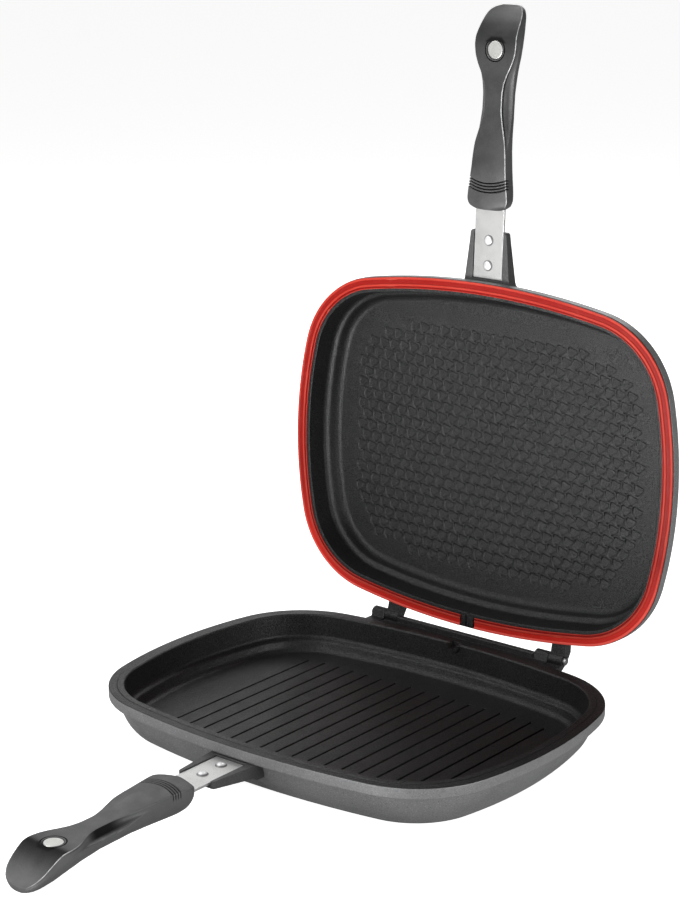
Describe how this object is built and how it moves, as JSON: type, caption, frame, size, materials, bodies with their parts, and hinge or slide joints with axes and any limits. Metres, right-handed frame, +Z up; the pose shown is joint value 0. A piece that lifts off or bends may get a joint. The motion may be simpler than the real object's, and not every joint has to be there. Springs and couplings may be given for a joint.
{
  "type": "double sided flip pan",
  "caption": "Hinged pair of rounded rectangular cast pans with a silicone rim seal, grooved floor, riveted steel tangs and grips that close face to face.",
  "frame": {"origin": "centre of the lower pan's base, on the surface it stands on", "axes": "+Z up, +X along the hinge pins, -Y towards the handles and +Y towards the hinge; stored with the lid open on its stop"},
  "size_m": [0.36, 0.5443, 0.5348],
  "materials": {
    "cast_pan_lower": "die cast aluminium, sprayed grey outside, black non-stick inside",
    "cast_pan_upper": "die cast aluminium, sprayed grey outside, black non-stick inside",
    "tang_steel": "brushed stainless strip",
    "rivet_metal": "polished domed rivets",
    "grip_bakelite": "matt moulded bakelite",
    "screw_steel": "plain steel screw",
    "magnet_nickel": "nickel plated magnet disc",
    "pin_steel": "dark steel pin",
    "gasket_silicone": "red silicone"
  },
  "bodies": {
    "base": {"lower_pan": "cast_pan_lower", "lower_tang": "tang_steel", "lower_tang_rivets": "rivet_metal", "lower_grip": "grip_bakelite", "lower_grip_screw": "screw_steel", "lower_magnet": "magnet_nickel", "hinge_pin_left": "pin_steel", "hinge_pin_right": "pin_steel"},
    "lid": {"upper_pan": "cast_pan_upper", "gasket": "gasket_silicone", "upper_tang": "tang_steel", "upper_tang_rivets": "rivet_metal", "upper_grip": "grip_bakelite", "upper_grip_screw": "screw_steel", "upper_magnet": "magnet_nickel"}
  },
  "joints": [
    {"name": "lid_hinge", "type": "hinge", "parent": "base", "child": "lid", "pos_m": [0, 0.1467, 0.038], "axis": [1, 0, 0], "range_deg": [0, 92]}
  ]
}
